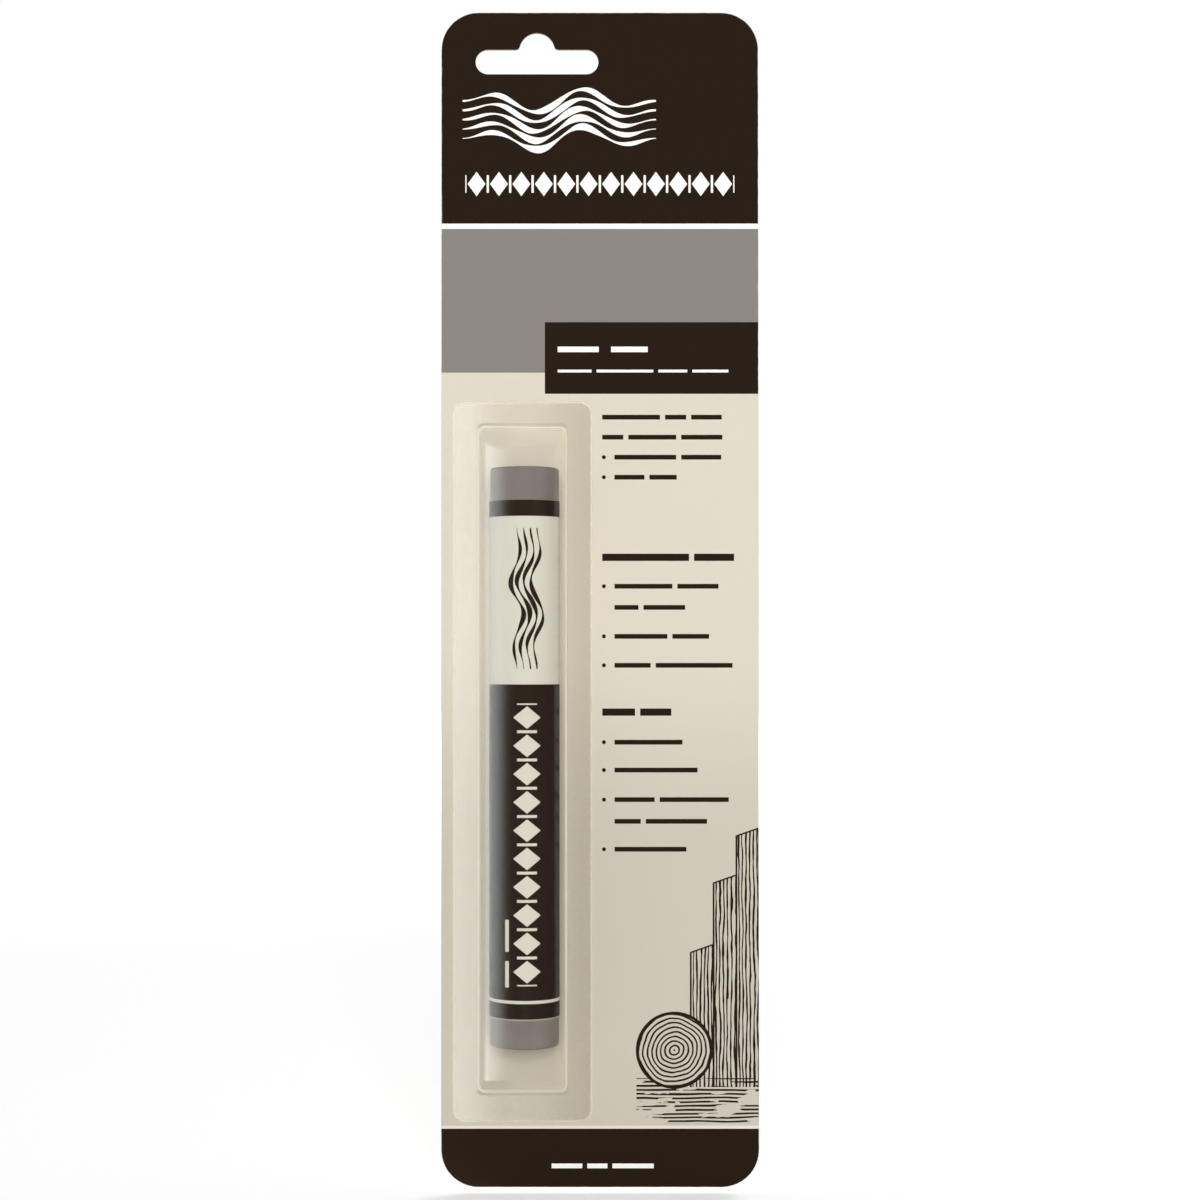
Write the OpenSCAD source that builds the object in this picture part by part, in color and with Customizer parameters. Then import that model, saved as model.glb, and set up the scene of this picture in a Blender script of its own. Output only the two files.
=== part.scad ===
// A putty stick in its hang pack: a printed card, a clear blister sealed to its
// front, and the labelled stick lying loosely in the blister's bubble.
// The pack hangs upright. X is to the right of someone looking at the print,
// Y runs into the card from its front, Z is up. The origin is the middle of the
// hang hole's round bump, on the card's back face.

/* [Backing card] */
// Width of the paperboard card
card_w = 57; // [50:0.5:80]
// Height of the card
card_h = 211; // [206:1:260]
// Thickness of the paperboard
card_t = 0.6; // [0.4:0.05:1.2]
// Radius of the card's four corners
card_corner_r = 6.7; // [2:0.1:9]

/* [Hang hole] */
// From the card's left edge to the middle of the hole's bump
hang_in = 17.2; // [15:0.1:25]
// From the card's top edge down to the middle of the bump
hang_down = 6.9; // [5.5:0.1:12]
// Radius of the bump, where the peg sits
bump_r = 3.2; // [2.8:0.1:4]
// From the middle of the bump down to the slot's centre line
slot_down = 2; // [1:0.1:2.1]
// Length of the slot over its round ends
slot_w = 22.1; // [18:0.1:26]
// Height of the slot
slot_h = 4.4; // [4.3:0.1:5.5]
// Radius of the corners where the bump meets the slot
hole_fillet_r = 0.8; // [0.2:0.1:1.2]

/* [Putty stick] */
// Diameter of the wax putty
putty_d = 12.2; // [10:0.1:13]
// Length of the wax putty
putty_len = 101.8; // [95:0.1:107]
// Radius of the putty's end edges
putty_edge_r = 0.5; // [0.3:0.1:2]
// How far the stick lies right of the bubble's middle
stick_right = 0.34; // [0:0.02:0.4]
// How far the stick lies above the bubble's middle
stick_up = 0.7; // [0:0.05:1]

/* [Label] */
// Length of bare putty above the label
bare_top = 5.9; // [2:0.1:10]
// Length of bare putty below the label
bare_bottom = 5.1; // [2:0.1:10]
// Thickness of the label paper
label_t = 0.08; // [0.06:0.01:0.16]
// Room between the putty and the label
label_gap = 0.02; // [0.01:0.01:0.06]
// Width of the overlap at the label's seam
seam_w = 4.5; // [2:0.1:8]
// Where the seam lies, turned right round from the front
seam_turn = 140; // [100:1:260]

/* [Blister] */
// Thickness of the clear plastic
film_t = 0.35; // [0.2:0.05:0.5]
// From the card's left edge to the flange's left edge
flange_in = 2.1; // [1:0.1:6]
// From the card's top edge down to the flange's top edge
flange_down = 70.1; // [20:0.1:71]
// Width of the flange beside the bubble, on both sides
rim_side = 4.65; // [3:0.05:6]
// Width of the flange above the bubble
rim_top = 4.6; // [3:0.1:7]
// Width of the flange below the bubble
rim_bottom = 5.5; // [3:0.1:7]
// Radius of the flange's corners
flange_corner_r = 2.2; // [0.5:0.1:2.6]
// Room between the stick and the card
seat_gap = 0.3; // [0.25:0.05:0.6]
// Room between the stick and the bubble's front
front_gap = 0.4; // [0.3:0.05:0.9]
// How much larger than the stick the bubble's arch is, at its radius
arch_play = 0.7; // [0.65:0.05:1.2]
// How far each side wall leans out from the arch to the flange
side_lean = 0.6; // [0.2:0.05:1.2]
// Room beyond each end of the stick, at the flange
end_play = 8.3; // [7:0.05:10]
// How far each end wall leans in from the flange to the bubble's front
end_lean = 4.4; // [1:0.1:5]
// Radius of the bubble's corners at the flange
bubble_corner_r = 0.9; // [0.4:0.1:2]

/* [Heat seal] */
// Thickness of the seal coating
seal_t = 0.05; // [0.03:0.01:0.1]
// Margin between the seal and the flange's outer edge
seal_edge = 0.4; // [0.1:0.1:1]
// Margin between the seal and the bubble's mouth
seal_mouth = 0.6; // [0.2:0.1:1]

/* [Hidden] */
$fn = 96;
// How far each cut runs past the faces that it goes through
cut = 1;

// Edges of the card, from the middle of the hang hole's bump
card_left = -hang_in;
card_top = hang_down;

// The slot's top edge, and the middle of the corner circle that meets the bump
slot_top = slot_h / 2 - slot_down;
fillet_z = slot_top + hole_fillet_r;
fillet_x = sqrt(pow(bump_r + hole_fillet_r, 2) - pow(fillet_z, 2));

// The labelled stick, and the label's inner and outer radius
label_in_r = putty_d / 2 + label_gap;
stick_r = label_in_r + label_t;

// Depths below are measured out from the flange's back face
stick_out = seat_gap + stick_r - seal_t;
cavity_depth = stick_out + stick_r + front_gap;
arch_r = stick_r + arch_play;
arch_out = cavity_depth - arch_r;
mouth_w = 2 * (arch_r + side_lean);
mouth_h = putty_len + 2 * end_play;

// How the side and end walls lean, from the line out of the card
arch_reach = norm([mouth_w / 2, arch_out]);
side_lean_deg = acos(arch_r / arch_reach) - atan2(arch_out, mouth_w / 2);
end_lean_deg = atan2(end_lean, cavity_depth);

// Outer size of the bubble at the flange, and of the flange itself
side_skin = film_t / cos(side_lean_deg);
end_skin = film_t / cos(end_lean_deg);
bubble_w = mouth_w + 2 * side_skin;
bubble_h = mouth_h + 2 * end_skin;
flange_w = bubble_w + 2 * rim_side;
flange_h = bubble_h + rim_top + rim_bottom;

// Middle of the flange and middle of the bubble
flange_x = card_left + flange_in + flange_w / 2;
flange_z = card_top - flange_down - flange_h / 2;
bubble_z = flange_z + (rim_bottom - rim_top) / 2;

// Middle of the stick, and the foot and length of its label
stick_x = flange_x + stick_right;
stick_y = -card_t - seat_gap - stick_r;
stick_z = bubble_z + stick_up;
label_foot_z = stick_z - putty_len / 2 + bare_bottom;
label_len = putty_len - bare_top - bare_bottom;

// The angle that the label's overlap covers
seam_deg = seam_w / stick_r * 180 / PI;

card_color = [0.88, 0.85, 0.78];
seal_color = [0.93, 0.92, 0.86];
film_color = [0.80, 0.84, 0.86, 0.4];
putty_color = [0.55, 0.53, 0.50];
label_color = [0.18, 0.14, 0.11];

// A rectangle round its own middle, with four round corners
module round_rect(w, h, r) {
    square([w - 2 * r, h], center = true);
    square([w, h - 2 * r], center = true);
    for (x = [-1, 1], z = [-1, 1])
        translate([x * (w / 2 - r), z * (h / 2 - r)]) circle(r = r);
}

// An outline drawn in X and Z, made into a plate that stands out from a depth
module plate(depth, t) {
    translate([0, -depth, 0]) rotate([90, 0, 0]) linear_extrude(t) children();
}

// The hang hole round the middle of its bump
module hang_hole_outline() {
    circle(r = bump_r);
    translate([0, -slot_down]) {
        square([slot_w - slot_h, slot_h], center = true);
        for (side = [-1, 1])
            translate([side * (slot_w - slot_h) / 2, 0]) circle(d = slot_h);
    }
    for (side = [-1, 1]) difference() {
        polygon([[0, 0], [side * fillet_x, fillet_z], [side * fillet_x, slot_top]]);
        translate([side * fillet_x, fillet_z]) circle(r = hole_fillet_r);
    }
}

// Printed paperboard, cut to shape with its hang hole
module backing_card() {
    color(card_color) plate(0, card_t) difference() {
        translate([card_left + card_w / 2, card_top - card_h / 2])
            round_rect(card_w, card_h, card_corner_r);
        hang_hole_outline();
    }
}

// The band of coating that bonds the flange to the card
module heat_seal() {
    color(seal_color) plate(card_t, seal_t) difference() {
        translate([flange_x, flange_z]) round_rect(
            flange_w - 2 * seal_edge, flange_h - 2 * seal_edge, flange_corner_r - seal_edge);
        translate([flange_x, bubble_z]) round_rect(
            mouth_w + 2 * seal_mouth, mouth_h + 2 * seal_mouth, bubble_corner_r + seal_mouth);
    }
}

// Cross-section of the bubble: an arch on two leaning walls that run into it.
// Its foot is at the flange's back face, or behind that face to cut through it
module bubble_section(half_w, r, foot) {
    foot_w = half_w + foot * tan(side_lean_deg);
    wall_w = r * cos(side_lean_deg);
    wall_out = arch_out + r * sin(side_lean_deg);
    translate([0, -arch_out]) circle(r = r);
    polygon([[-foot_w, foot], [foot_w, foot], [wall_w, -wall_out], [-wall_w, -wall_out]]);
}

// The bubble's body: the section run along the stick, between two leaning end
// walls, with round corners at its foot
module bubble_form(half_w, half_h, r, corner_r, foot) {
    depth = arch_out + r;
    foot_h = half_h + foot * tan(end_lean_deg);
    front_h = half_h - depth * tan(end_lean_deg);
    intersection() {
        linear_extrude(2 * (half_h + cut), center = true) bubble_section(half_w, r, foot);
        rotate([0, -90, 0]) linear_extrude(2 * (half_w + cut), center = true)
            polygon([[-foot_h, foot], [foot_h, foot], [front_h, -depth], [-front_h, -depth]]);
        plate(-foot, depth + foot) round_rect(2 * half_w, 2 * half_h, corner_r);
    }
}

// Clear plastic: the flange and the hollow bubble, open at its back
module blister() {
    color(film_color) translate([flange_x, -card_t - seal_t, 0]) difference() {
        union() {
            translate([0, 0, flange_z])
                plate(0, film_t) round_rect(flange_w, flange_h, flange_corner_r);
            translate([0, 0, bubble_z]) bubble_form(
                bubble_w / 2, bubble_h / 2, arch_r + film_t, bubble_corner_r + film_t, 0);
        }
        translate([0, 0, bubble_z])
            bubble_form(mouth_w / 2, mouth_h / 2, arch_r, bubble_corner_r, cut);
    }
}

// The wax putty, a cylinder with rounded end edges
module putty_stick() {
    r = putty_d / 2;
    straight = putty_len / 2 - putty_edge_r;
    color(putty_color) translate([stick_x, stick_y, stick_z]) rotate_extrude() {
        translate([0, -straight]) square([r, 2 * straight]);
        translate([0, -putty_len / 2]) square([r - putty_edge_r, putty_len]);
        for (end = [-1, 1])
            translate([r - putty_edge_r, end * straight]) circle(r = putty_edge_r);
    }
}

// The paper label: one turn round the putty, and the overlap that lies on it
module stick_label() {
    overlap_in_r = label_in_r + label_t / 2;
    color(label_color) translate([stick_x, stick_y, label_foot_z]) {
        rotate_extrude() translate([label_in_r, 0]) square([label_t, label_len]);
        rotate([0, 0, seam_turn - 90 - seam_deg / 2]) rotate_extrude(angle = seam_deg)
            translate([overlap_in_r, 0]) square([stick_r + label_t - overlap_in_r, label_len]);
    }
}

backing_card();
heat_seal();
blister();
putty_stick();
stick_label();
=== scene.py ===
import math

import bmesh
import bpy
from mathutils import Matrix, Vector


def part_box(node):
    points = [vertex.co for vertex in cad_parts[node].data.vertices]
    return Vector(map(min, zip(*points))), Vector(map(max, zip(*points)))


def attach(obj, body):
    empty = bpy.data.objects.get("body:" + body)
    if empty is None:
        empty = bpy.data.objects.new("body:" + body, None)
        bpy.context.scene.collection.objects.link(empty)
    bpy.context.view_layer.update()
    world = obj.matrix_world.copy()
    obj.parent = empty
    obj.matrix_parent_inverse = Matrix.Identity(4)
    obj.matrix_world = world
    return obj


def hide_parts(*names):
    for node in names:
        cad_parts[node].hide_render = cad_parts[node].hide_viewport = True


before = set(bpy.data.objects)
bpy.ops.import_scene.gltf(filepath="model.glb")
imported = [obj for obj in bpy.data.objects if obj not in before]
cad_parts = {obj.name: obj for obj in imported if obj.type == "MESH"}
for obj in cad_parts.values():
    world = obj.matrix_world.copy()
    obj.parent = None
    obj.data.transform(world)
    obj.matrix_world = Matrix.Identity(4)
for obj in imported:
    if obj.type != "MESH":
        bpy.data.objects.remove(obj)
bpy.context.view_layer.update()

# A putty stick in its hang pack, as it hangs on a shop's peg: the printed card, the clear blister
# sealed to its front, and the labelled stick inside. Everything is in metres, X to the right of
# someone who looks at the print, Y into the card, Z up.
mm = 0.001
scene = bpy.context.scene
scene.view_settings.view_transform = "Standard"

# Camera. It stands in front of the stick, a little below the card's middle, and looks up a little.
# The frame is slightly taller than the card, and shifted so that the card stays in its middle.
card_low, card_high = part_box("backing_card")
print_y = card_low.y
camera_off = 420 * mm
frame_side = 215.5 * mm
eye_left, eye_below = 13.6 * mm, 10.5 * mm
framed_right, framed_up = eye_left, 6.5 * mm
aim_below = 0.27 * mm
aim = Vector(((card_low.x + card_high.x) / 2, print_y, (card_low.z + card_high.z) / 2 - aim_below))
camera_place = aim + Vector((-eye_left, -camera_off, -eye_below))
camera_aim = aim - Vector((framed_right, 0, framed_up))
bpy.ops.object.camera_add(
    location=camera_place, rotation=(camera_aim - camera_place).to_track_quat("-Z", "Y").to_euler()
)
camera = bpy.context.object
camera.data.sensor_width = 36
camera.data.lens = camera.data.sensor_width * camera_off / frame_side
camera.data.shift_x = framed_right / frame_side
camera.data.shift_y = framed_up / frame_side
camera.data.clip_start = 10 * mm
scene.camera = camera


# Studio floor. It lies a millimetre below the card's foot and is painted a pale gray. The camera
# sees it as white wherever no shadow falls on it, like the backdrop behind it. In the film's gloss
# it looks like the tent beyond it: bright at the pack's left, gray behind it and dark in front.
class Wire:
    """A socket in a finish, on which Python's operators add Math nodes."""

    def __init__(self, socket):
        self.socket = socket

    def node(self, kind, settings=None, inputs=None, output=0):
        """Adds a node beside this one: its kind, its settings, then its sockets' values or links."""
        tree = self.socket.id_data
        made = tree.nodes.new(kind)
        for name, value in (settings or {}).items():
            setattr(made, name, value)
        for name, value in (inputs or {}).items():
            if isinstance(value, Wire):
                tree.links.new(value.socket, made.inputs[name])
            else:
                made.inputs[name].default_value = value
        return Wire(made.outputs[output]) if made.outputs else None

    def maths(self, operation, *numbers):
        return self.node("ShaderNodeMath", {"operation": operation}, dict(enumerate(numbers)))

    def __add__(self, other):
        return self.maths("ADD", self, other)

    def __radd__(self, other):
        return self.maths("ADD", other, self)

    def __sub__(self, other):
        return self.maths("SUBTRACT", self, other)

    def __rsub__(self, other):
        return self.maths("SUBTRACT", other, self)

    def __mul__(self, other):
        return self.maths("MULTIPLY", self, other)

    def __rmul__(self, other):
        return self.maths("MULTIPLY", other, self)

    def __truediv__(self, other):
        return self.maths("DIVIDE", self, other)

    def __pow__(self, power):
        return self.maths("POWER", self, power)

    def __lt__(self, other):
        return self.maths("LESS_THAN", self, other)

    def __gt__(self, other):
        return self.maths("GREATER_THAN", self, other)

    def __abs__(self):
        return self.maths("ABSOLUTE", self)

    def larger(self, other):
        return self.maths("MAXIMUM", self, other)

    def parts(self):
        """The X, Y and Z of a place."""
        return [self.node("ShaderNodeSeparateXYZ", {}, {0: self}, output=axis) for axis in range(3)]

    def rise(self, start, end):
        """Climbs smoothly from 0 at the start to 1 at the end."""
        places = {"Value": self, "From Min": start, "From Max": end}
        return self.node("ShaderNodeMapRange", {"interpolation_type": "SMOOTHSTEP"}, places)

    def tint(self, below, above):
        """Mixes two colours, with this number as the share of the second."""
        share_and_colours = {0: self, 6: below, 7: above}
        return self.node("ShaderNodeMix", {"data_type": "RGBA"}, share_and_colours, output=2)

    def cloud(self, grain, detail=2.0, longer=(1, 1, 1)):
        """Soft noise at a place, with lumps of one grain size, longer along some axes."""
        pace = [1 / stretch for stretch in longer]
        spread = self.node("ShaderNodeVectorMath", {"operation": "MULTIPLY"}, {0: self, 1: pace})
        lumps = {"Vector": spread, "Scale": 1 / grain, "Detail": detail}
        return self.node("ShaderNodeTexNoise", {}, lumps)


def new_finish(name):
    """An empty material, and the place on the piece as its first wire."""
    finish = bpy.data.materials.new(name)
    finish.use_nodes = True
    finish.node_tree.nodes.clear()
    return finish, Wire(finish.node_tree.nodes.new("ShaderNodeTexCoord").outputs["Object"])


floor_drop = 1 * mm
floor_side = 8.0
floor_gray, floor_speck, black = (0.8, 0.8, 0.8, 1), (0.78, 0.78, 0.78, 1), (0, 0, 0, 1)
near_glow, far_glow = 0.42, 0.6
white_from, white_by = 0.35, 1.1
gloss_back, gloss_left, gloss_front = 0.4, 2.3, 0.03
back_by = 0.9
left_focus, left_behind = 6.0, 0.3
bpy.ops.object.select_all(action="DESELECT")
bpy.ops.mesh.primitive_plane_add(size=floor_side, location=(camera_place.x, 0, card_low.z - floor_drop))
floor = bpy.context.object
floor.name = "floor"


def in_gloss(side, depth):
    """How bright the studio shows in the film's gloss, by the way that leads there from the pack."""
    from_left = ((0 - side).larger(0) + left_behind * depth.larger(0) * (side < 0)) ** left_focus
    from_back = depth.rise(0.0, back_by)
    return gloss_front + (gloss_back - gloss_front) * from_back + gloss_left * from_left


floor_paint, place = new_finish("floor_paint")
x, y = place.parts()[:2]
seen = place.node("ShaderNodeLightPath", output="Is Camera Ray")
mirrored = place.node("ShaderNodeLightPath", output="Is Glossy Ray")
off = place.node("ShaderNodeVectorMath", {"operation": "LENGTH"}, {0: place}, output="Value")
mottle = place.cloud(3 * mm).tint(floor_gray, floor_speck)
matt = place.node("ShaderNodeBsdfDiffuse", {}, {"Color": mirrored.tint(mottle, black)})
glow = seen * (near_glow + far_glow * off.rise(white_from, white_by))
glow = glow + mirrored * in_gloss(x / off, y / off)
shine = place.node("ShaderNodeEmission", {}, {"Strength": glow})
lit = place.node("ShaderNodeAddShader", {}, {0: matt, 1: shine})
lit.node("ShaderNodeOutputMaterial", {}, {"Surface": lit})
floor.data.materials.append(floor_paint)

# Studio light. A white tent gives a third of the light, and a soft box in front of the card, a
# little above its middle, gives the rest. A second soft box lights the card's back.
tent_level = 0.35
tent = bpy.data.worlds.new("tent")
scene.world = tent
tent.use_nodes = True
tent.node_tree.nodes.clear()
place = Wire(tent.node_tree.nodes.new("ShaderNodeTexCoord").outputs["Generated"])
side, depth = place.parts()[:2]
seen = place.node("ShaderNodeLightPath", output="Is Camera Ray")
mirrored = place.node("ShaderNodeLightPath", output="Is Glossy Ray")
level = seen + (1 - seen) * (mirrored * in_gloss(side, depth) + (1 - mirrored) * tent_level)
cloth = place.node("ShaderNodeBackground", {}, {"Color": (1, 1, 1, 1), "Strength": level})
cloth.node("ShaderNodeOutputWorld", {}, {"Surface": cloth})


def soft_box(name, toward, off, side, power):
    """A square lamp that faces the middle of the card from one direction."""
    place = aim + Vector(toward).normalized() * off
    bpy.ops.object.light_add(
        type="AREA", location=place, rotation=(aim - place).to_track_quat("-Z", "Y").to_euler()
    )
    lamp = bpy.context.object
    lamp.name = name
    lamp.data.size = side
    lamp.data.energy = power
    lamp.visible_glossy = False


soft_box("key_box", toward=(0.0, -0.88, 0.15), off=1.7, side=0.6, power=17.6)
soft_box("back_box", toward=(0.5, 0.75, 0.45), off=2.6, side=1.7, power=41)


# Backing card: solid bleached board, printed and varnished on its front and bare behind. One
# stroke of the die cuts it to shape with its hang hole, which rolls its edges over a little.
def work_on(piece):
    """Leaves only this piece selected and active."""
    bpy.ops.object.select_all(action="DESELECT")
    piece.select_set(True)
    bpy.context.view_layer.objects.active = piece


def apply(piece, kind, **settings):
    """Adds a modifier to the piece and applies it."""
    work_on(piece)
    modifier = piece.modifiers.new(kind.lower(), kind)
    for name, value in settings.items():
        setattr(modifier, name, value)
    bpy.ops.object.modifier_apply(modifier=modifier.name)


die_roll = 0.06 * mm
weld = 0.001 * mm
flat_within = math.radians(0.2)
round_within = math.radians(40)
sharp_from = math.radians(60)
card = bpy.data.objects.new("die_cut_card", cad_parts["backing_card"].data.copy())
scene.collection.objects.link(card)
work_on(card)
bpy.ops.mesh.customdata_custom_splitnormals_clear()
bpy.ops.object.mode_set(mode="EDIT")
bpy.ops.mesh.select_all(action="SELECT")
bpy.ops.mesh.remove_doubles(threshold=weld)
bpy.ops.mesh.dissolve_limited(angle_limit=flat_within)
bpy.ops.object.mode_set(mode="OBJECT")
apply(card, "BEVEL", width=die_roll, segments=2, limit_method="ANGLE", angle_limit=sharp_from)
work_on(card)
bpy.ops.object.shade_smooth_by_angle(angle=round_within)
apply(card, "WEIGHTED_NORMAL", keep_sharp=True)


def screen_colour(red, green, blue):
    """A colour as a screen shows it, from 0 to 255, as the linear colour that a socket takes."""
    shares = [level / 255 for level in (red, green, blue)]
    return (*[s / 12.92 if s <= 0.04045 else ((s + 0.055) / 1.055) ** 2.4 for s in shares], 1.0)


def fraction(level):
    """What is left of a number past its last whole one, which repeats a pattern."""
    return level.maths("FRACT", level)


def sine(phase):
    """The sway of a wave at this phase, in radians."""
    return phase.maths("SINE", phase)


def distance(across, up):
    """How far a place lies from a centre, by its two steps from there."""
    return across.maths("SQRT", across * across + up * up)


def depth_in(x, z, low, high, corner_r):
    """How far a place lies inside an upright rectangle with round corners."""
    over_x = (abs(x - (low.x + high.x) / 2) - ((high.x - low.x) / 2 - corner_r)).larger(0)
    over_z = (abs(z - (low.z + high.z) / 2) - ((high.z - low.z) / 2 - corner_r)).larger(0)
    return corner_r - distance(over_x, over_z)


def line_of_bars(x, z, left, middle, thick, lengths, gap=0.9 * mm):
    """A line of plain bars, given by their lengths in millimetres."""
    bars = 0
    for length in lengths:
        bars = bars + (x > left) * (x < left + length * mm)
        left = left + length * mm + gap
    return bars * (abs(z - middle) < thick / 2)


def grain_figure(along, across, length, half_height, lanes):
    """Brush strokes that wave side by side like wood grain, and swell and thin as they go."""
    far = along * (2 / length) - 1
    calm = 1 - far * far
    phase = along * (4 * math.pi / length)
    sway = 0.34 * half_height * sine(phase) * calm
    reach = 0.66 * half_height
    lane = across - sway
    press = sine(phase + lane * (2.2 / half_height) + 0.9)
    thick = (0.13 + 0.3 * press * press) * (0.25 + 0.75 * calm)
    strokes = abs(fraction(lane * (lanes / (2 * reach)) + 0.5 * lanes) - 0.5) < thick
    return strokes * (abs(lane) < reach) * (along > 0) * (along < length)


def diamond_band(along, across, length, half_height, count):
    """A row of upright diamonds with short bars between them, as in an inlaid border."""
    to_side = abs(fraction(along * (count / length)) - 0.5) * 2
    up = abs(across) * (1 / half_height)
    diamond = to_side * 1.25 + up < 1
    bar = (to_side > 0.9) * (up < 0.72)
    return diamond.larger(bar) * (along > 0) * (along < length)


cream, deep_cream = screen_colour(223, 216, 199), screen_colour(207, 200, 184)
cream_from, cream_by = -104 * mm, -146 * mm


def cream_tint(z):
    """The card's cream ground, which deepens towards its foot."""
    return z.rise(cream_from, cream_by).tint(cream, deep_cream)


dark_ink, white_ink = screen_colour(42, 31, 21), screen_colour(255, 255, 250)
swatch_gray, footer_rule = screen_colour(139, 134, 129), screen_colour(234, 224, 212)
header_foot, rule_foot, swatch_foot = -31.15 * mm, -32.1 * mm, -58.0 * mm
tab_left, tab_top, tab_foot = 1.4 * mm, -48.9 * mm, -61.8 * mm
footer_rule_top, footer_top = -193.1 * mm, -193.65 * mm

card_print, place = new_finish("card_print")
x, y, z = place.parts()
colour = (z > swatch_foot).tint(cream_tint(z), swatch_gray)
colour = (z > rule_foot).tint(colour, white_ink)
colour = (z > header_foot).tint(colour, dark_ink)
colour = ((x > tab_left) * (z < tab_top) * (z > tab_foot)).tint(colour, dark_ink)
colour = (z < footer_rule_top).tint(colour, footer_rule)
colour = (z < footer_top).tint(colour, dark_ink)

# Stock drawing in engraved lines: sawn boards that stand behind a cut log, on hatched ground. The
# second and third board stand higher than the one before, and all tops are sawn at a slope.
boards_left, board_w, boards_foot = 27.4 * mm, 4.1 * mm, -186.2 * mm
first_top, second_up, third_up, top_slope = -162 * mm, 11 * mm, 7 * mm, 0.35
grain_pitch, grain_waver = 0.68 * mm, 1.1 * mm
joint_share, end_line = 0.08, 0.3 * mm
log_x, log_z, log_r, bark = 24.6 * mm, -179.6 * mm, 6.9 * mm, 0.5 * mm
ring_pitch, ring_share = 0.78 * mm, 0.4
ground_left, ground_top, ground_foot = 17.8 * mm, -184.6 * mm, -192.8 * mm
hatch_pitch, hatch_share = 0.7 * mm, 0.5
hand_waver = 0.9 * mm
waver = place.cloud(1.6 * mm, detail=3.0, longer=(1, 1, 5)) - 0.5
broken = place.cloud(0.7 * mm, longer=(1, 1, 6))
board_top = first_top + second_up * (x > boards_left + board_w)
board_top = board_top + third_up * (x > boards_left + 2 * board_w)
board_top = board_top + top_slope * (x - boards_left)
on_boards = (x > boards_left) * (z > boards_foot) * (z < board_top)
grain = fraction((x + grain_waver * waver) / grain_pitch) < 0.62 * broken + 0.12
board_edge = fraction((x - boards_left) / board_w) < joint_share
boards = on_boards * grain.larger(board_edge).larger(board_top - z < end_line)
from_log = distance(x - log_x, z - log_z)
on_log = from_log < log_r
ring_at = from_log + hand_waver * (place.cloud(4 * mm) - 0.5)
log_end = on_log * (fraction(ring_at / ring_pitch) < ring_share).larger(from_log > log_r - bark)
hatch_at = z + hand_waver * (place.cloud(4 * mm, longer=(3, 1, 1)) - 0.5)
hatch = fraction(hatch_at / hatch_pitch) < hatch_share
on_ground = (x > ground_left) * (z < ground_top) * (z > ground_foot)
ground = on_ground * hatch * (place.cloud(2.2 * mm, detail=3.0, longer=(3, 1, 0.6)) > 0.47)
drawing = (boards.larger(ground) * (1 - on_log)).larger(log_end)
colour = drawing.tint(colour, dark_ink)

# Plain bars in lines, like a shop card's list, each line given by its height and its bars in
# millimetres. Beads stand in front of the listed lines.
text_left, listed_left, bead_at, bead_r = 11.7 * mm, 13.9 * mm, 12.0 * mm, 0.36 * mm
small, bold = 0.85 * mm, 1.3 * mm
headings = [(-91.2, (15.6, 7.2)), (-119.0, (5.9, 5.6))]
plain_lines = [(-66.0, (10.4, 3.8, 5.5)), (-69.6, (3.8, 8.6, 7.4))]
listed_lines = [
    (-73.2, (11.1, 7.2)), (-76.8, (5.4, 4.9)), (-96.4, (10.4, 7.4)),
    (-105.4, (9.5, 6.6)), (-110.6, (6.5, 13.8)), (-124.4, (12.2,)),
    (-129.4, (14.9,)), (-134.7, (7.2, 12.4)), (-143.6, (12.9,)),
]
run_on_lines = [(-100.2, (4.3, 7.5)), (-138.6, (4.7, 11.0))]
bars = 0
for lines, left, thick in (
    (headings, text_left, bold),
    (plain_lines, text_left, small),
    (listed_lines + run_on_lines, listed_left, small),
):
    for height, lengths in lines:
        bars = bars + line_of_bars(x, z, left, height * mm, thick, lengths)
for height, _ in listed_lines:
    from_bead_x, from_bead_z = x - bead_at, z - height * mm
    bars = bars + (from_bead_x * from_bead_x + from_bead_z * from_bead_z < bead_r * bead_r)
colour = bars.tint(colour, dark_ink)

# White print on the dark grounds: two ornaments on the header, and bars on the tab and the footer.
figure_left, figure_z, figure_len, figure_half = -13.4 * mm, -12.4 * mm, 34.8 * mm, 6.4 * mm
band_left, band_z, band_len, band_half = -12.9 * mm, -24.0 * mm, 48.4 * mm, 2.2 * mm
tab_bars_left, footer_bars_left = 3.7 * mm, 2.6 * mm
white = grain_figure(x - figure_left, z - figure_z, figure_len, figure_half, lanes=5)
white = white.larger(diamond_band(x - band_left, z - band_z, band_len, band_half, count=12))
for left, middle, thick, lengths, gap in (
    (tab_bars_left, -53.8 * mm, 1.0 * mm, (7.4, 6.6), 2.2 * mm),
    (tab_bars_left, -57.7 * mm, 0.5 * mm, (6.1, 10.2, 5.2, 6.5), 0.9 * mm),
    (footer_bars_left, -200.3 * mm, 0.85 * mm, (5.5, 3.6, 7.4), 0.9 * mm),
):
    white = white + line_of_bars(x, z, left, middle, thick, lengths, gap)
colour = white.tint(colour, white_ink)

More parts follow.
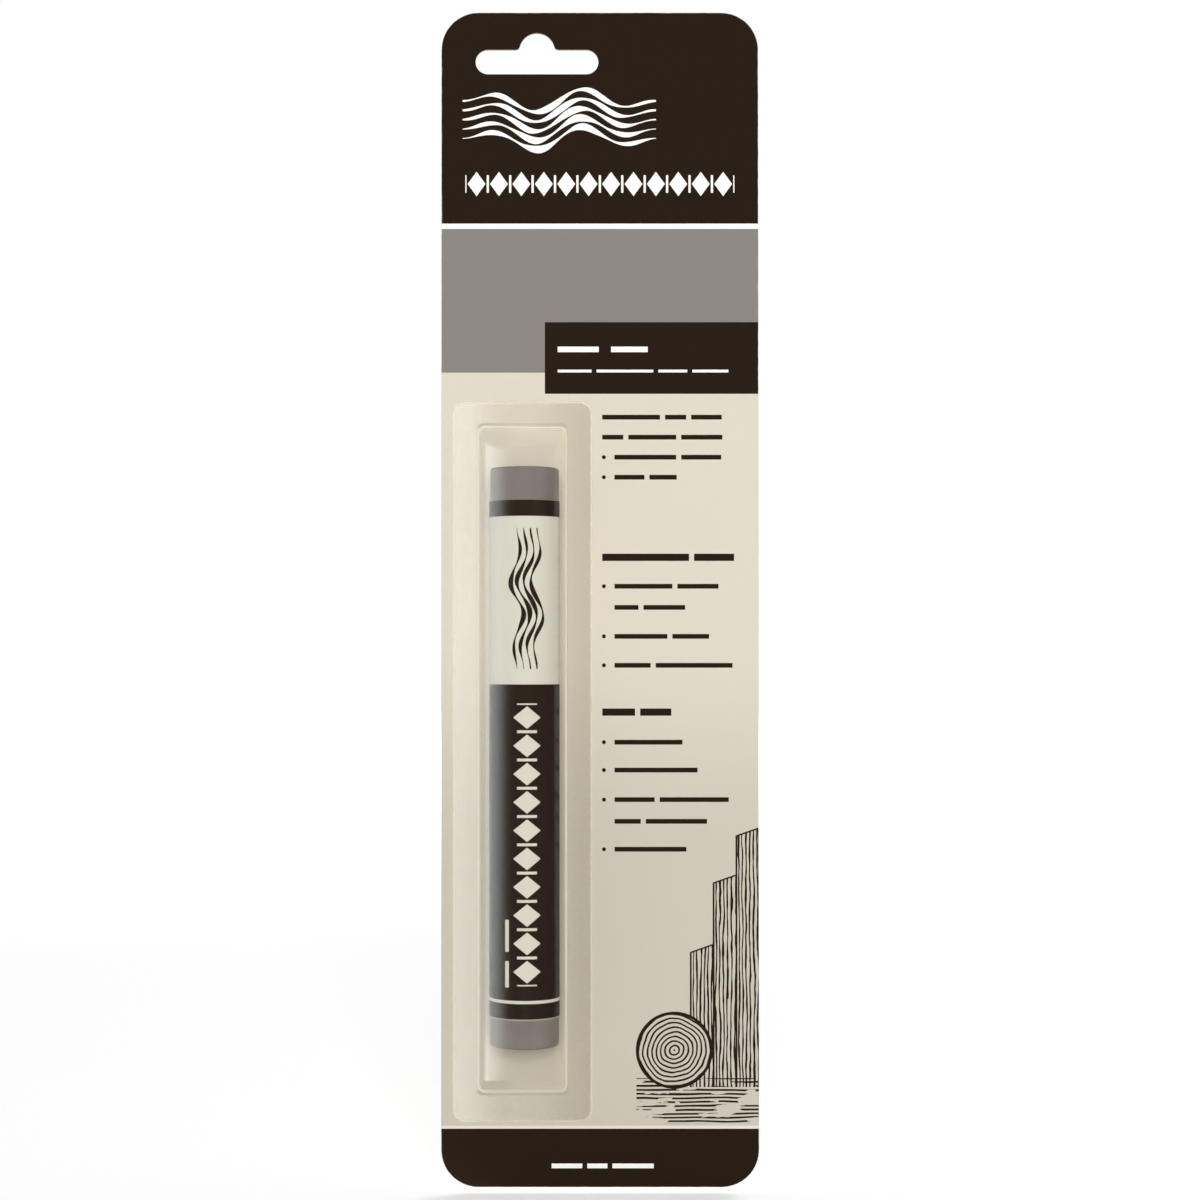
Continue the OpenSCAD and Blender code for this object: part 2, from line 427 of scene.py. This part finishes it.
# Worn edges of the print, and the board itself: a darker core between two pale faces, with fine
# brown fibres in both.
corner_r, wear_least, wear_more = 6.7 * mm, 0.05 * mm, 0.3 * mm
core_by, face_from = 0.1 * mm, 0.24 * mm
worn_print, fibre_brown = screen_colour(214, 206, 192), screen_colour(176, 165, 146)
board_core, board_face = screen_colour(196, 186, 168), screen_colour(232, 226, 214)
bare_rough, varnish_rough, fibre_rough = 0.86, 0.5, 0.08
fibre = place.cloud(0.25 * mm, detail=4.0, longer=(2.5, 1, 1))
wear = wear_least + wear_more * (place.cloud(2 * mm, detail=5.0) - 0.42)
scuffed = depth_in(x, z, card_low, card_high, corner_r) < wear
colour = (0.5 * scuffed).tint(colour, worn_print)
from_core = abs(y - print_y / 2).rise(core_by, face_from)
board = from_core.tint(board_core, board_face)
board = (0.35 * fibre.rise(0.35, 0.75)).tint(board, fibre_brown)
printed = y < print_y + 0.5 * die_roll
colour = printed.tint(board, colour)
rough = bare_rough + (varnish_rough - bare_rough) * printed + fibre_rough * fibre
dent = place.node("ShaderNodeBump", {}, {"Height": fibre, "Strength": 0.12, "Distance": 0.03 * mm})
surface = place.node(
    "ShaderNodeBsdfPrincipled", {},
    {"Base Color": colour, "Roughness": rough, "Specular IOR Level": 0.1, "Normal": dent},
)
surface.node("ShaderNodeOutputMaterial", {}, {"Surface": surface})
card.data.materials.clear()
card.data.materials.append(card_print)
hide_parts("backing_card")
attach(card, "card")

# Heat seal: a band of clear coating that melts between the card and the blister's flange. The
# hot tool presses a fine mottle into it, through which the card's cream ground shows.
# The pale flecks of the mottle are painted light: they brighten the band to make up for the light that
# the film over it takes away.
seal_painted_lift = screen_colour(232, 226, 208)
seal_finish, place = new_finish("pressed_seal_with_painted_lift")
z = place.parts()[2]
pressed = place.cloud(0.5 * mm, detail=3.0)
colour = (0.25 * pressed.rise(0.3, 0.7)).tint(cream_tint(z), seal_painted_lift)
rough = 0.3 + 0.25 * pressed
dent = place.node("ShaderNodeBump", {}, {"Height": pressed, "Strength": 0.2, "Distance": 0.03 * mm})
surface = place.node(
    "ShaderNodeBsdfPrincipled", {},
    {"Base Color": colour, "Roughness": rough, "Specular IOR Level": 0.2, "Normal": dent},
)
surface.node("ShaderNodeOutputMaterial", {}, {"Surface": surface})
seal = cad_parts["heat_seal"]
seal.data.materials.clear()
seal.data.materials.append(seal_finish)

# Blister: clear film, drawn while warm over a mould into a flat flange round a deep tunnel for
# the stick. The draw leaves every bend round, and a knife trims the flange to its outline. Its
# back stays a hair off the seal's front, so that no two faces share one depth.
film = 0.35 * mm
clear_of_seal = 0.012 * mm
rim_side, rim_top, rim_foot = 4.65 * mm, 4.6 * mm, 5.5 * mm
side_lean, end_lean = math.radians(5.3), math.radians(18.63)
flange_corner_r = 2.2 * mm
end_bend_r, foot_bend_r = 1.1 * mm, 0.55 * mm
knife_edge, arch_weld = 0.05 * mm, 0.02 * mm
arch_steps, end_steps, foot_steps, corner_steps = 24, 5, 4, 8
near = 0.01 * mm
blister_low, blister_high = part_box("blister")
flange_y = blister_high.y - film
tunnel_y = blister_low.y
tunnel_deep = flange_y - tunnel_y
tunnel_x = (blister_low.x + blister_high.x) / 2
tunnel_z = (blister_low.z + rim_foot + blister_high.z - rim_top) / 2
foot_w = blister_high.x - blister_low.x - 2 * rim_side - 2 * film * math.tan(side_lean)
foot_h = blister_high.z - rim_top - blister_low.z - rim_foot - 2 * film * math.tan(end_lean)
crown_w = foot_w - 2 * tunnel_deep * math.tan(side_lean)
crown_h = foot_h - 2 * tunnel_deep * math.tan(end_lean)
tunnel_middle = Vector((tunnel_x, (flange_y + tunnel_y) / 2, tunnel_z))


def level_with(part, y):
    """Whether all corners of an edge or a face lie at one depth."""
    return all(abs(corner.co.y - y) < near for corner in part.verts)


def steady(edge, axis):
    """Whether an edge keeps its place along an axis: 0 for X, 2 for Z."""
    start, end = edge.verts
    return abs(start.co[axis] - end.co[axis]) < near


def pick(piece, kind, wanted):
    """Selects only the wanted edges or faces of the piece, in edit mode."""
    bpy.ops.mesh.select_mode(type={"edges": "EDGE", "faces": "FACE"}[kind])
    bpy.ops.mesh.select_all(action="DESELECT")
    shape = bmesh.from_edit_mesh(piece.data)
    for part in getattr(shape, kind):
        if wanted(part):
            part.select_set(True)
    bmesh.update_edit_mesh(piece.data)


bpy.ops.object.select_all(action="DESELECT")
bpy.ops.mesh.primitive_cube_add(size=1, location=tunnel_middle, scale=(foot_w, tunnel_deep, foot_h))
blister = bpy.context.object
blister.name = "formed_blister"
bpy.ops.object.transform_apply(location=True, rotation=True, scale=True)
bpy.ops.object.mode_set(mode="EDIT")
pick(blister, "faces", lambda face: level_with(face, flange_y))
bpy.ops.mesh.delete(type="ONLY_FACE")
pick(blister, "faces", lambda face: level_with(face, tunnel_y))
narrowing = (crown_w / foot_w, 1, crown_h / foot_h)
bpy.ops.transform.resize(value=narrowing, center_override=tunnel_middle)

# The two long front edges bend round until they meet, which makes the tunnel's arch. The edges of
# its end walls bend less.
pick(blister, "edges", lambda edge: level_with(edge, tunnel_y) and steady(edge, 0))
bpy.ops.mesh.bevel(offset=crown_w / 2, segments=arch_steps, profile=0.5, clamp_overlap=True)
bpy.ops.mesh.select_all(action="SELECT")
bpy.ops.mesh.remove_doubles(threshold=arch_weld)
pick(
    blister, "edges",
    lambda edge: not level_with(edge, flange_y)
    and any(abs(face.normal.z) > 0.5 for face in edge.link_faces),
)
bpy.ops.mesh.bevel(offset=end_bend_r, segments=end_steps, profile=0.5, clamp_overlap=True)

# A first strip of flange grows out of the tunnel's foot, and their corner bends round.
strip_w = 1.4 * mm
pick(blister, "edges", lambda edge: edge.is_boundary)
bpy.ops.mesh.extrude_region_move()
widening = ((foot_w + 2 * strip_w) / foot_w, 1, (foot_h + 2 * strip_w) / foot_h)
bpy.ops.transform.resize(value=widening, center_override=tunnel_middle)
pick(
    blister, "edges",
    lambda edge: level_with(edge, flange_y) and not edge.is_boundary
    and any(abs(face.normal.y) < 0.9 for face in edge.link_faces),
)
bpy.ops.mesh.bevel(offset=foot_bend_r, segments=foot_steps, profile=0.5, clamp_overlap=True)

# The knife's outline is drawn as a plate with round corners, and joined to the strip. The film
# gets its thickness last, and its cut edges lose their sharpness.
flange_middle = Vector((tunnel_x, flange_y, (blister_low.z + blister_high.z) / 2))
flange_size = (blister_high.x - blister_low.x, 1, blister_high.z - blister_low.z)
bpy.ops.mesh.select_all(action="DESELECT")
bpy.ops.mesh.primitive_plane_add(size=1, location=flange_middle, rotation=(math.pi / 2, 0, 0))
bpy.ops.transform.resize(value=flange_size, center_override=flange_middle)
bpy.ops.mesh.bevel(offset=flange_corner_r, segments=corner_steps, profile=0.5, affect="VERTICES")
bpy.ops.mesh.delete(type="ONLY_FACE")
pick(blister, "edges", lambda edge: edge.is_boundary or edge.is_wire)
bpy.ops.mesh.fill()
bpy.ops.mesh.select_all(action="SELECT")
bpy.ops.mesh.normals_make_consistent(inside=False)
bpy.ops.object.mode_set(mode="OBJECT")
apply(blister, "SOLIDIFY", thickness=film - clear_of_seal, offset=-1, use_even_offset=True)
apply(blister, "BEVEL", width=knife_edge, segments=1, limit_method="ANGLE", angle_limit=sharp_from)
work_on(blister)
bpy.ops.object.shade_smooth_by_angle(angle=round_within)
apply(blister, "WEIGHTED_NORMAL", keep_sharp=True)


def soft_band(level, start, full, fading, end):
    """Climbs from 0 to 1 over the first two places, and falls back to 0 over the last two."""
    return level.rise(start, full) * (1 - level.rise(fading, end))


# The film is clear in front of the stick and wherever it is seen at a slant, with a faint haze and
# rubbed streaks. Painted light lies over that: a painted highlight over its left, painted glints
# along the knife's cut and round the tunnel's foot, a painted shade over its right side, mostly on
# the flange, and thin painted shade lines just outside both ends of the tunnel's foot.
foot_corner_r = 1.1 * mm
arch_left = tunnel_x - 6 * mm
clear_haze, rubbed_haze = 0.003, 0.006
# Share of the painted highlight over the film's left, more of it on the flange.
left_highlight_level, left_highlight_flange_more = 0.18, 0.06
# Share of the painted shade over the film's right, more of it on the flange.
right_shade_level, right_shade_flange_more = 0.005, 0.085
# Shares of the painted glints along the cut and round the tunnel's foot, and of the painted shade lines
# at the foot's ends.
cut_glint_level, foot_glint_level, shade_level = 0.22, 0.8, 0.05
# Colour of the painted highlight at the left, then of the painted shade at the right.
left_highlight_colour, right_shade_colour = screen_colour(250, 248, 244), screen_colour(120, 108, 88)
# Colour of the painted glints, then of the painted shade lines.
glint_colour, end_shade_colour = screen_colour(240, 236, 222), screen_colour(110, 100, 84)
clear_tint = (0.997, 0.995, 0.985, 1)
front_mirror, edge_mirror, left_mirror, gloss_rough = 0.04, 0.08, 0.6, 0.07
film_finish, place = new_finish("clear_film")
x, y, z = place.parts()
in_from_cut = depth_in(x, z, blister_low, blister_high, flange_corner_r)
# Painted glint along the knife's cut.
cut_glint = 1 - in_from_cut.rise(0.1 * mm, 0.7 * mm)
# Painted highlight over the film's left.
left_highlight = 1 - x.rise(blister_low.x, tunnel_x - 2.4 * mm)
# Painted shade over the film's right.
right_shade = x.rise(arch_left, blister_high.x)
rub = place.cloud(6 * mm, detail=5.0, longer=(1, 1, 8)).rise(0.62, 0.72)
foot_low = Vector((tunnel_x - foot_w / 2, 0, tunnel_z - foot_h / 2))
foot_high = Vector((tunnel_x + foot_w / 2, 0, tunnel_z + foot_h / 2))
in_from_foot = depth_in(x, z, foot_low, foot_high, foot_corner_r)
near_flange = 1 - (flange_y - y).rise(0.6 * mm, 1.8 * mm)
# Painted glint round the tunnel's foot.
foot_glint = soft_band(in_from_foot, -0.35 * mm, -0.1 * mm, 0.4 * mm, 0.7 * mm) * near_flange
# Painted shade lines just outside the two ends of the tunnel's foot.
end_shade = soft_band(in_from_foot, -0.95 * mm, -0.7 * mm, -0.55 * mm, -0.35 * mm)
end_shade = end_shade * (abs(z - tunnel_z) > foot_h / 2)
# The milky share mixes a faint real haze and rubbed streaks with the painted light above.
haze_and_painted_light = clear_haze + (left_highlight_level + left_highlight_flange_more * near_flange) * left_highlight
haze_and_painted_light = haze_and_painted_light + (right_shade_level + right_shade_flange_more * near_flange) * right_shade
haze_and_painted_light = haze_and_painted_light + cut_glint_level * cut_glint + rubbed_haze * rub
haze_and_painted_light = haze_and_painted_light + foot_glint_level * foot_glint + shade_level * end_shade
facing = place.node("ShaderNodeLayerWeight", {}, {"Blend": 0.5}, output="Facing")
haze_and_painted_light = haze_and_painted_light * (1 - facing.rise(0.6, 0.85))
haze_and_painted_light_colour = right_shade.tint(left_highlight_colour, right_shade_colour)
haze_and_painted_light_colour = cut_glint.larger(foot_glint).tint(haze_and_painted_light_colour, glint_colour)
haze_and_painted_light_colour = end_shade.tint(haze_and_painted_light_colour, end_shade_colour)
clear = place.node("ShaderNodeBsdfTransparent", {}, {"Color": clear_tint})
haze_and_painted_light_layer = place.node("ShaderNodeBsdfDiffuse", {}, {"Color": haze_and_painted_light_colour})
body = place.node("ShaderNodeMixShader", {}, {0: haze_and_painted_light, 1: clear, 2: haze_and_painted_light_layer})
gloss = place.node("ShaderNodeBsdfAnisotropic", {}, {"Roughness": gloss_rough})
on_left = 1 - x.rise(arch_left, tunnel_x)
mirror = front_mirror + (edge_mirror + left_mirror * on_left) * facing ** 5.0
surface = place.node("ShaderNodeMixShader", {}, {0: mirror, 1: body, 2: gloss})
surface.node("ShaderNodeOutputMaterial", {}, {"Surface": surface})
blister.data.materials.append(film_finish)
blister.visible_shadow = False
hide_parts("blister")
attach(blister, "blister")

# Putty stick: wax putty cast as a round bar. It shrinks as it cools, which dishes its ends, and
# handling leaves it softly dented and specked.
edge_r, edge_steps = 0.5 * mm, 6
dish_rings, ring_w, ring_dish = 3, 1.1 * mm, 0.12 * mm
dent_deep, dent_size = 0.05 * mm, 5 * mm
facets, slices = 96, 60
bar_round_within = math.radians(50)
putty_low, putty_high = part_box("putty_stick")
putty_middle = (putty_low + putty_high) / 2
putty_r = (putty_high.x - putty_low.x) / 2
putty_len = putty_high.z - putty_low.z
bpy.ops.object.select_all(action="DESELECT")
bpy.ops.mesh.primitive_cylinder_add(
    vertices=facets, radius=putty_r, depth=putty_len, location=putty_middle
)
putty = bpy.context.object
putty.name = "wax_putty"
bpy.ops.object.transform_apply(location=True, rotation=True, scale=True)
bpy.ops.object.mode_set(mode="EDIT")
pick(putty, "edges", lambda edge: steady(edge, 2))
bpy.ops.mesh.bevel(offset=edge_r, segments=edge_steps, profile=0.5)
for outward in (1, -1):
    pick(putty, "faces", lambda face: face.normal.z * outward > 0.999)
    for _ in range(dish_rings):
        bpy.ops.mesh.inset(thickness=ring_w)
        bpy.ops.transform.translate(value=(0, 0, -outward * ring_dish))
for cut in range(1, slices):
    bpy.ops.mesh.select_all(action="SELECT")
    cut_z = putty_low.z + edge_r + (putty_len - 2 * edge_r) * cut / slices
    bpy.ops.mesh.bisect(plane_co=(putty_middle.x, putty_middle.y, cut_z), plane_no=(0, 0, 1))
bpy.ops.object.mode_set(mode="OBJECT")
lumps = bpy.data.textures.new("lumps", "CLOUDS")
lumps.noise_scale = dent_size
apply(putty, "DISPLACE", texture=lumps, texture_coords="LOCAL", strength=dent_deep, mid_level=1.0)
work_on(putty)
bpy.ops.object.shade_smooth_by_angle(angle=bar_round_within)

wax_dark, wax_pale = screen_colour(128, 121, 114), screen_colour(139, 132, 125)
pale_speck, dark_speck = screen_colour(160, 154, 146), screen_colour(96, 89, 82)
wax, place = new_finish("gray_wax")
drift = place.cloud(7 * mm, detail=3.0, longer=(1, 1, 3))
specks = place.cloud(0.22 * mm)
colour = drift.rise(0.3, 0.7).tint(wax_dark, wax_pale)
colour = (0.5 * specks.rise(0.66, 0.74)).tint(colour, pale_speck)
colour = (0.45 * (1 - specks.rise(0.26, 0.36))).tint(colour, dark_speck)
nicks = place.cloud(1.1 * mm, detail=4.0, longer=(2, 2, 1))
rough = 0.42 + 0.2 * nicks
pitted = nicks + 0.3 * specks
dent = place.node("ShaderNodeBump", {}, {"Height": pitted, "Strength": 0.35, "Distance": 0.08 * mm})
surface = place.node(
    "ShaderNodeBsdfPrincipled", {},
    {"Base Color": colour, "Roughness": rough, "Specular IOR Level": 0.35, "Normal": dent},
)
surface.node("ShaderNodeOutputMaterial", {}, {"Surface": surface})
putty.data.materials.append(wax)
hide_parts("putty_stick")
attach(putty, "stick")

# Label: a slip of coated paper, printed in dark and cream bands, wrapped once round the putty and
# glued where its ends overlap, at the back.
paper, wrap_room = 0.08 * mm, 0.02 * mm
seam_w, seam_turn = 4.5 * mm, math.radians(140)
facets = 180
label_low, label_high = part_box("stick_label")
label_len = label_high.z - label_low.z
wrap_r = putty_r + wrap_room + paper
label_middle = Vector((putty_middle.x, putty_middle.y, (label_low.z + label_high.z) / 2))
bpy.ops.object.select_all(action="DESELECT")
bpy.ops.mesh.primitive_cylinder_add(
    vertices=facets, radius=wrap_r, depth=label_len, location=label_middle, end_fill_type="NOTHING"
)
label = bpy.context.object
label.name = "paper_label"
bpy.ops.object.transform_apply(location=True, rotation=True, scale=True)


def turn_of(place):
    """The angle round the stick, from its front towards the right."""
    return math.atan2(place.x - label_middle.x, label_middle.y - place.y)


seam_half = seam_w / wrap_r / 2
bpy.ops.object.mode_set(mode="EDIT")
pick(label, "faces", lambda face: abs(turn_of(face.calc_center_median()) - seam_turn) < seam_half)
bpy.ops.mesh.duplicate()
grow = (wrap_r + paper) / wrap_r
bpy.ops.transform.resize(value=(grow, grow, 1), center_override=label_middle)
bpy.ops.object.mode_set(mode="OBJECT")
apply(label, "SOLIDIFY", thickness=paper, offset=-1, use_even_offset=True)
work_on(label)
bpy.ops.object.shade_smooth_by_angle(angle=round_within)

top_band_foot, cream_foot = -84.5 * mm, -113.9 * mm
pinstripe_top, pinstripe_foot = -168.95 * mm, -169.5 * mm
figure_top, figure_len, figure_half, figure_right = -86.6 * mm, 24.6 * mm, 3.6 * mm, 0.45 * mm
band_top, band_len, band_half = -117.2 * mm, 49.2 * mm, 2.45 * mm
bars_top, bars_left, bars_thick, bars_gap = -154.9 * mm, -3.2 * mm, 0.75 * mm, 1.6 * mm
shaded_up = 0.3 * mm
label_dark, label_cream = screen_colour(40, 29, 18), screen_colour(226, 221, 207)
bare_paper, shaded_paper = screen_colour(226, 221, 208), screen_colour(170, 165, 155)
label_print, place = new_finish("label_print")
x, y, z = place.parts()
arc = place.maths("ARCTAN2", x - label_middle.x, label_middle.y - y) * wrap_r
pinstripe = (z > pinstripe_foot) * (z < pinstripe_top)
cream_band = (z > cream_foot) * (z < top_band_foot)
across = arc - figure_right
figure = grain_figure(figure_top - z, across, figure_len, figure_half, lanes=4)
diamonds = diamond_band(band_top - z, across, band_len, band_half, count=10)
bars = line_of_bars(0 - z, arc, -bars_top, bars_left, bars_thick, (5.6, 4.6), bars_gap)
colour = (pinstripe + cream_band - figure + diamonds + bars).tint(label_dark, label_cream)
cut_ends = (z > label_high.z - near).larger(z < label_low.z + near)
colour = cut_ends.tint(colour, bare_paper)
colour = (z < label_low.z + shaded_up).tint(colour, shaded_paper)
fibre = place.cloud(0.3 * mm, detail=4.0, longer=(1, 1, 2.5))
rough = 0.42 + 0.1 * fibre
dent = place.node("ShaderNodeBump", {}, {"Height": fibre, "Strength": 0.15, "Distance": 0.03 * mm})
surface = place.node(
    "ShaderNodeBsdfPrincipled", {},
    {"Base Color": colour, "Roughness": rough, "Specular IOR Level": 0.01, "Normal": dent},
)
surface.node("ShaderNodeOutputMaterial", {}, {"Surface": surface})
label.data.materials.append(label_print)
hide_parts("stick_label")
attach(label, "label")
